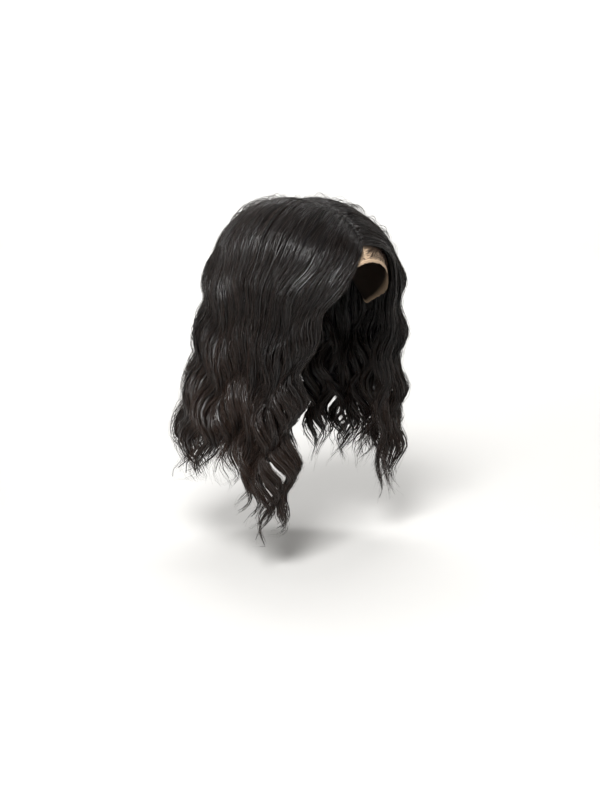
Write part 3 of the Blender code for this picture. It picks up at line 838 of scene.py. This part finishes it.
def tube_object(name, paths, half_width, half_depth, sides, material):
    """One joined mesh of closed tubes along paths. Each side of a tube has its strip of the map."""
    count, rows = paths.shape[:2]
    across, outward = across_and_outward(paths)
    angle = np.pi / 2 + 2 * np.pi * np.arange(sides) / sides
    ring = np.cos(angle)[:, None] * across[:, :, None, :] * half_width[:, :, None, None]
    ring = ring + np.sin(angle)[:, None] * outward[:, :, None, :] * half_depth[:, :, None, None]
    points = (paths[:, :, None, :] + ring).reshape(-1, 3)
    tube, row, side = np.meshgrid(
        np.arange(count), np.arange(rows - 1), np.arange(sides), indexing="ij"
    )
    tube, row, side = tube.ravel(), row.ravel(), side.ravel()
    a = (tube * rows + row) * sides + side
    b = (tube * rows + row) * sides + (side + 1) % sides
    walls = np.stack([b, a, a + sides, b + sides], -1)
    first = np.arange(count)[:, None] * rows * sides + np.arange(sides)[None, :]
    last = first[:, ::-1] + (rows - 1) * sides
    mesh = bpy.data.meshes.new(name)
    mesh.from_pydata(points, [], walls.tolist() + first.tolist() + last.tolist())
    strip = 1 / count
    left = (tube + side / sides) * strip
    right = (tube + (side + 1) / sides) * strip
    low = row / (rows - 1)
    high = (row + 1) / (rows - 1)
    wall_map = np.stack([right, low, left, low, left, high, right, high], -1).reshape(-1, 2)
    caps = np.repeat((np.arange(count) + 0.5) * strip, sides)
    first_map = np.stack([caps, np.full_like(caps, 0.001)], -1)
    last_map = np.stack([caps, np.full_like(caps, 0.999)], -1)
    layer = mesh.uv_layers.new(name="OFBake")
    layer.data.foreach_set("uv", np.concatenate([wall_map, first_map, last_map]).ravel())
    mesh.shade_smooth()
    mesh.materials.append(material)
    made = bpy.data.objects.new(name, mesh)
    scene.collection.objects.link(made)
    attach(made, "root")
    return made


def tapered(size, least, distance):
    """A thickness that grows from its least share with the distance from an end of the hair."""
    return size * (least + (1 - least) * ease(distance))


section_seed = {"right": 11, "left": 12, "back": 13}
locks_of = {section: section_locks(section, seed) for section, seed in section_seed.items()}
for section, locks in locks_of.items():
    count = len(locks["layer"])
    # Packed hair of the same dye, drawn darker than the wisps as painted shade between the outer
    # hairs, with a weak gleam along fine streaks
    core_hair_shade = hair_material(
        "locks " + section,
        "#040303", "#0b0807", "#18110d",
        roughness=0.28, shine=0.17, count=count, streaks=22,
    )
    lock = np.arange(count)
    place = np.linspace(0, CORE_END, CORE_ROWS)[None, :] ** 0.85 + np.zeros((count, 1))
    path = sampled(locks["path"], lock, place)
    thin = tapered(1.0, 0.12, (CORE_END - place) * 5)
    drop = sampled(locks["drop"], lock, place)
    thin = thin * (0.3 + 0.7 * rising(drop, -10 * MM, 80 * MM))
    wide = np.where(locks["layer"] == 0, 0.9, 1.15)[:, None]
    half_width = wide * sampled(locks["half_width"], lock, place) * thin
    half_depth = np.where(locks["layer"] == 2, 0.4, 0.75)[:, None]
    half_depth = half_depth * sampled(locks["half_depth"], lock, place) * thin
    core = tube_object("lock_cores_" + section, path, half_width, half_depth, CORE_SIDES, core_hair_shade)
    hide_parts("back_hair" if section == "back" else "front_hair_" + section)

# Wisps
# Flat bundles of a few dozen hairs, 1.4 to 3.8 mm wide, that wrap round each lock. They were
# permed on the same rod, cling together, and carry most of the gleam.
WISP_ROWS = 34
WISP_SIDES = 4
WISPS = {"right": 400, "left": 320, "back": 640}
WISP_LAYERS = (1.0, 0.45, 0.6)
WISP_HALF_WIDTH = (0.7, 1.9)
WISP_WANDER = 0.9 * MM


def wander(rng, along, size, lengths):
    """Smooth wander of each hair to one side and the other."""
    total = np.zeros_like(along)
    for length in lengths:
        stretch = rng.uniform(0.7, 1.4, (along.shape[0], 1))
        phase = rng.uniform(0, 2 * np.pi, (along.shape[0], 1))
        total += np.sin(2 * np.pi * along / (length * MM * stretch) + phase)
    return total * size / len(lengths)


def hairs_in_locks(rng, locks, lock, angle, radius, rows, ends, wander_size, starts=0.0):
    """Paths of hairs or wisps in locks, round the lock's middle at an angle and a radius."""
    share = np.linspace(0, 1, rows)[None, :] ** 0.85
    place = starts + (ends[:, None] - starts) * share
    drop = sampled(locks["drop"], lock, place)
    turned_angle = angle[:, None] + sampled(locks["twist"], lock, place)
    radius = radius[:, None]
    u = np.cos(turned_angle) * radius * sampled(locks["half_width"], lock, place)
    v = np.sin(turned_angle) * radius * sampled(locks["half_depth"], lock, place)
    growth = rising(drop, -30 * MM, 200 * MM)
    u = u + wander(rng, drop, wander_size * 1.3, (96, 41)) * growth
    v = v + wander(rng, drop, wander_size, (80, 37)) * growth
    path = sampled(locks["path"], lock, place)
    path = path + u[..., None] * sampled(locks["across"], lock, place)
    path = path + v[..., None] * sampled(locks["outward"], lock, place)
    # On the dome each hair lies combed beside its neighbours, and joins its lock lower down
    spread = rng.uniform(-0.8, 0.8, len(lock)) * locks["step"][lock]
    bearing = np.clip(locks["bearing"][lock] + spread, *locks["ends"])[:, None]
    depth = np.where(locks["layer"][lock] == 0, 0.7, 0.5)[:, None]
    depth = depth + 0.24 * radius * np.abs(np.sin(angle))[:, None]
    wave = [sampled(values, lock, place) for values in locks["wave"]]
    combed = hair_place(bearing + 0 * drop, drop, depth, *wave)
    into_lock = rising(drop, -25 * MM, 100 * MM)[..., None]
    return combed + (path - combed) * into_lock, place


def places_round_locks(rng, locks, count, layers, wrap):
    """Picks a lock and an angle round it for each hair, by the weights of the three layers."""
    weight = np.array(layers)[locks["layer"]]
    lock = rng.choice(len(weight), count, p=weight / weight.sum())
    outer = locks["layer"][lock] < 2
    outside = rng.uniform(-wrap, np.pi + wrap, count)
    return lock, outer, np.where(outer, outside, rng.uniform(-np.pi, 0, count))


for section, locks in locks_of.items():
    rng = np.random.default_rng(300 + section_seed[section])
    count = WISPS[section]
    lock, outer, angle = places_round_locks(rng, locks, count, WISP_LAYERS, 0.5)
    radius = rng.uniform(0.6, 1.1, count) * np.where(outer, 1.0, 0.7)
    ends = rng.uniform(0.8, 0.98, count)
    path, place = hairs_in_locks(rng, locks, lock, angle, radius, WISP_ROWS, ends, WISP_WANDER)
    width = rng.uniform(*WISP_HALF_WIDTH, (count, 1)) * MM
    width = tapered(width, 0.12, (ends[:, None] - place) * 5 + 0.03)
    width = tapered(width, 0.2, place * 8)
    depth = 0.24 * width + 0.1 * MM
    # Combed and glossy: a clear gleam, broken into streaks by the hairs of the wisp
    wisp_hair = hair_material(
        "wisps " + section,
        "#040303", "#120d0b", "#281c16",
        roughness=0.24, shine=0.27, count=count, streaks=10,
    )
    tube_object("hair_wisps_" + section, path, width, depth, WISP_SIDES, wisp_hair)

# Single hairs
# Hairs that have left their wisp and lie on the lock, tied in like the rest. A real one is about
# 0.08 mm thick. They are drawn 0.4 to 0.6 mm thick, each in place of a few, so that they show.
HAIR_ROWS = 30
HAIR_SIDES = 3
HAIRS = {"right": 700, "left": 500, "back": 880}
HAIR_LAYERS = (1.0, 0.35, 0.4)
HAIR_RADIUS = (0.2, 0.32)
HAIR_WANDER = 2.0 * MM
for section, locks in locks_of.items():
    rng = np.random.default_rng(400 + section_seed[section])
    count = HAIRS[section]
    lock, outer, angle = places_round_locks(rng, locks, count, HAIR_LAYERS, 0.7)
    radius = rng.uniform(0.85, 1.35, count)
    ends = rng.uniform(0.78, 1.0, count)
    path, place = hairs_in_locks(rng, locks, lock, angle, radius, HAIR_ROWS, ends, HAIR_WANDER)
    thick = rng.uniform(*HAIR_RADIUS, (count, 1)) * MM
    thick = tapered(thick, 0.2, (ends[:, None] - place) * 4)
    thick = tapered(thick, 0.25, place * 9)
    # Painted light: a hair lit on its own is drawn lighter and browner than the mass, and has the
    # sharpest gleam
    single_hair = hair_material(
        "single " + section,
        "#060404", "#1e1713", "#3c2b21",
        roughness=0.23, shine=0.34, count=count, streaks=1,
    )
    tube_object("single_hairs_" + section, path, thick, thick, HAIR_SIDES, single_hair)

# Flyaway hairs
# Fine loose hairs that stand off the outline of the hair, tied in like the rest and lifted by
# combing. They are drawn 0.14 to 0.24 mm thick, where a real one has about 0.08 mm.
FLYAWAY_ROWS = 18
FLYAWAYS = {"right": 170, "left": 110, "back": 150}
FLYAWAY_RADIUS = (0.07, 0.12)
FLYAWAY_WANDER = 5.0 * MM
for section, locks in locks_of.items():
    rng = np.random.default_rng(500 + section_seed[section])
    count = FLYAWAYS[section]
    lock = rng.choice(np.nonzero(locks["layer"] == 0)[0], count)
    angle = rng.uniform(0.2, np.pi - 0.2, count)
    radius = rng.uniform(1.1, 1.9, count)
    ends = rng.uniform(0.6, 1.0, count)
    path, place = hairs_in_locks(rng, locks, lock, angle, radius, FLYAWAY_ROWS, ends, FLYAWAY_WANDER)
    thick = rng.uniform(*FLYAWAY_RADIUS, (count, 1)) * MM
    thick = tapered(thick, 0.3, (ends[:, None] - place) * 4)
    # Painted light: light passes through a fine hair, so it is drawn brown and soft
    flyaway_hair = hair_material(
        "flyaway " + section,
        "#14100e", "#33261f", "#4a352a",
        roughness=0.4, shine=0.3, count=count, streaks=1,
    )
    tube_object("flyaway_hairs_" + section, path, thick, thick, HAIR_SIDES, flyaway_hair)

# Short hairs
# Broken and short hairs among those tied in, which stand up in small arcs near the part and over
# the crown. They come in tufts, and are drawn 0.3 to 0.5 mm thick so that they show.
RUFFLES = {"right": 130, "left": 150, "back": 130}
RUFFLE_TUFTS = 22
RUFFLE_ROWS = 12
# They start at these shares of a lock's length, and stand up and lean by so many mm
RUFFLE_STARTS = (0.01, 0.17)
RUFFLE_RADIUS = (0.14, 0.24)
RUFFLE_ARC = (2.5, 7.0)
RUFFLE_LEAN = (-5, 5)
RUFFLE_WANDER = 0.5 * MM
for section, locks in locks_of.items():
    rng = np.random.default_rng(600 + section_seed[section])
    count = RUFFLES[section]
    tuft = rng.integers(0, RUFFLE_TUFTS, count)
    lock = rng.choice(np.nonzero(locks["layer"] == 0)[0], RUFFLE_TUFTS)[tuft]
    starts = rng.uniform(*RUFFLE_STARTS, (RUFFLE_TUFTS, 1))[tuft]
    starts = starts + rng.uniform(-0.006, 0.006, (count, 1))
    ends = starts[:, 0] + rng.uniform(0.035, 0.08, count)
    angle = rng.uniform(0.9, np.pi - 0.9, count)
    path, place = hairs_in_locks(
        rng, locks, lock, angle, np.ones(count), RUFFLE_ROWS, ends, RUFFLE_WANDER, starts
    )
    share = (place - starts) / (ends[:, None] - starts)
    arc = rng.uniform(*RUFFLE_ARC, (count, 1)) * MM * np.sin(np.pi * share) ** 0.8
    lean = rng.uniform(*RUFFLE_LEAN, (count, 1)) * MM * share
    path = path + arc[..., None] * sampled(locks["outward"], lock, place)
    path = path + lean[..., None] * sampled(locks["across"], lock, place)
    thick = rng.uniform(*RUFFLE_RADIUS, (count, 1)) * MM * (0.4 + 0.6 * np.sin(np.pi * share))
    # It stands across the sheen of the rest, so it looks dark with a soft gleam
    short_hair = hair_material(
        "short " + section,
        "#0c0908", "#221a16", "#2c211b",
        roughness=0.35, shine=0.25, count=count, streaks=1,
    )
    tube_object("short_hairs_" + section, path, thick, thick, HAIR_SIDES, short_hair)

# Baby hairs
# Short fine hairs, knotted along the front of the lace and brushed back from its edge so that the
# hairline looks grown. They are drawn 0.24 to 0.4 mm thick at the root.
BABY_HAIRS = 420
BABY_ROWS = 12
BABY_RADIUS = (0.12, 0.2)
# From this bearing on the wearer's left to this one on the right, and how they rise off the lace
BABY_BEARING = (-46, 36)
BABY_ROOT_HEIGHT = 1.0 * MM
BABY_TIP_RISE = 2.2 * MM
rng = np.random.default_rng(78)
bearing = rng.uniform(*BABY_BEARING, BABY_HAIRS)
edge = edge_directions(bearing)
up = np.array([0, 0, 1])
inward = turned(edge, up + 0 * edge, rng.uniform(0.03, 0.14, BABY_HAIRS))
tilt = np.where(bearing < 2, -1, 1) * rng.uniform(0.08, 0.22, BABY_HAIRS)
along_edge = np.stack([-np.cos(np.radians(bearing)), np.sin(np.radians(bearing)), 0 * bearing], -1)
reach = tilt[:, None] * along_edge + up * rng.uniform(0.0, 0.12, (BABY_HAIRS, 1))
share = np.linspace(0, 1, BABY_ROWS)
bow = np.sin(np.pi * share)[None, :, None] * rng.uniform(-0.03, 0.03, (BABY_HAIRS, 1, 1))
direction = inward[:, None, :] + reach[:, None, :] * share[None, :, None] + bow * up
baby_path = on_head(unit(direction), (BABY_ROOT_HEIGHT + BABY_TIP_RISE * share)[None, :])
thick = rng.uniform(*BABY_RADIUS, (BABY_HAIRS, 1)) * MM * (1 - 0.7 * share)[None, :]
# Painted light: fine hair lets light through, so it is drawn soft and brown against the skin tone of
# the lace
baby_hair = hair_material(
    "baby hairs",
    "#14100e", "#3a2c25", "#4a352a",
    roughness=0.4, shine=0.25, count=BABY_HAIRS, streaks=1,
)
tube_object("baby_hairs_front", baby_path, thick, thick, HAIR_SIDES, baby_hair)

# Floor and backdrop
# One round sheet of white paper, plain and pale, that lies flat round the wig and bends up into a
# wall on every side, as studio paper on a roll does. It is the stage and no part of the wig.
FLOOR_DROP = 0.40
BEND_START = 3.0
BEND_RADIUS = 1.2
WALL_TOP = 3.6
FLOOR_SIDES = 72
FLAT_RINGS = 4
BEND_RINGS = 12
outline = [(BEND_START * ring / FLAT_RINGS, -FLOOR_DROP) for ring in range(1, FLAT_RINGS + 1)]
for ring in range(1, BEND_RINGS + 1):
    angle = math.radians(90 * ring / BEND_RINGS)
    rise = BEND_RADIUS * (1 - math.cos(angle))
    outline.append((BEND_START + BEND_RADIUS * math.sin(angle), rise - FLOOR_DROP))
outline.append((BEND_START + BEND_RADIUS, WALL_TOP))
floor_points = [(0, 0, -FLOOR_DROP)]
floor_faces = []
for ring, (reach, height) in enumerate(outline):
    for side in range(FLOOR_SIDES):
        angle = 2 * math.pi * side / FLOOR_SIDES
        floor_points.append((reach * math.cos(angle), reach * math.sin(angle), height))
        near, far = 1 + ring * FLOOR_SIDES, 1 + (ring - 1) * FLOOR_SIDES
        after = (side + 1) % FLOOR_SIDES
        if ring == 0:
            floor_faces.append((0, near + side, near + after))
        else:
            floor_faces.append((far + side, near + side, near + after, far + after))
floor_mesh = bpy.data.meshes.new("floor")
floor_mesh.from_pydata(floor_points, [], floor_faces)
floor_mesh.shade_smooth()
floor = bpy.data.objects.new("floor", floor_mesh)
scene.collection.objects.link(floor)
# Uncoated paper, calendered: an even pale ground without a gleam
paper = new_material("backdrop paper, white")
paper_surface = node(
    paper, "ShaderNodeBsdfPrincipled", {"Base Color": colour("#b9b8b6"), "Roughness": 0.9}
)
node(paper, "ShaderNodeOutputMaterial", {}, {"Surface": paper_surface.outputs[0]})
floor_mesh.materials.append(paper)

# Soft studio light
# Cloth soft boxes on stands: the key at the front right and above, a weak one at the side, a fill
# at the front left and one overhead. Two more light the paper behind the wig and in front.
WORLD_STRENGTH = 0.06
world = bpy.data.worlds.new("studio")
world.use_nodes = True
ambient = world.node_tree.nodes["Background"].inputs
ambient["Color"].default_value = (1, 1, 1, 1)
ambient["Strength"].default_value = WORLD_STRENGTH
scene.world = world
scene.view_settings.view_transform = "Standard"


def soft_box(name, place, aim, size, power):
    """A lamp with an even rectangle of light. Sizes are in metres and the power is in watts."""
    lamp = bpy.data.lights.new(name, "AREA")
    lamp.shape = "RECTANGLE"
    lamp.size, lamp.size_y = size
    lamp.energy = power
    made = bpy.data.objects.new(name, lamp)
    made.location = place
    made.rotation_euler = (Vector(aim) - Vector(place)).to_track_quat("-Z", "Y").to_euler()
    scene.collection.objects.link(made)


soft_box("key", (-1.45, -0.83, 1.52), (0, 0, -0.15), (0.8, 0.8), 102)
soft_box("side", (-2.1, -0.5, 0.5), (0, 0, -0.2), (0.5, 0.9), 13)
soft_box("fill", (0.9, -1.9, 0.7), (0, 0, -0.2), (1.0, 1.2), 11)
soft_box("top", (0.1, 0.4, 1.6), (0, 0, -0.1), (1.6, 1.2), 6)
soft_box("backdrop", (1.1, 1.1, 2.4), (2.6, 2.6, 0.3), (2.2, 1.2), 190)
soft_box("front wall", (-1.2, -1.2, 2.6), (-3.4, -3.4, 0.6), (2.2, 1.2), 90)

# Camera
# A studio camera at the photograph's angle, from the wearer's front right and a little above. Its
# distance, height and lens were fitted to the part line, the hairline and the outline.
VIEW_BEARING = 46
VIEW_RISE = 13
VIEW_DISTANCE = 1.6
VIEW_DROP = 0.222
VIEW_ASIDE = 0.00857
LENS = 63
bearing = math.radians(VIEW_BEARING)
rise = math.radians(VIEW_RISE)
level = Vector((-math.sin(bearing), -math.cos(bearing), 0))
across = Vector((math.cos(bearing), -math.sin(bearing), 0))
back = level * math.cos(rise) + Vector((0, 0, math.sin(rise)))
target = Vector((0, 0, -VIEW_DROP)) - across * VIEW_ASIDE
lens = bpy.data.cameras.new("camera")
lens.lens = LENS
camera = bpy.data.objects.new("camera", lens)
camera.location = target + back * VIEW_DISTANCE
camera.rotation_euler = (-back).to_track_quat("-Z", "Y").to_euler()
scene.collection.objects.link(camera)
scene.camera = camera
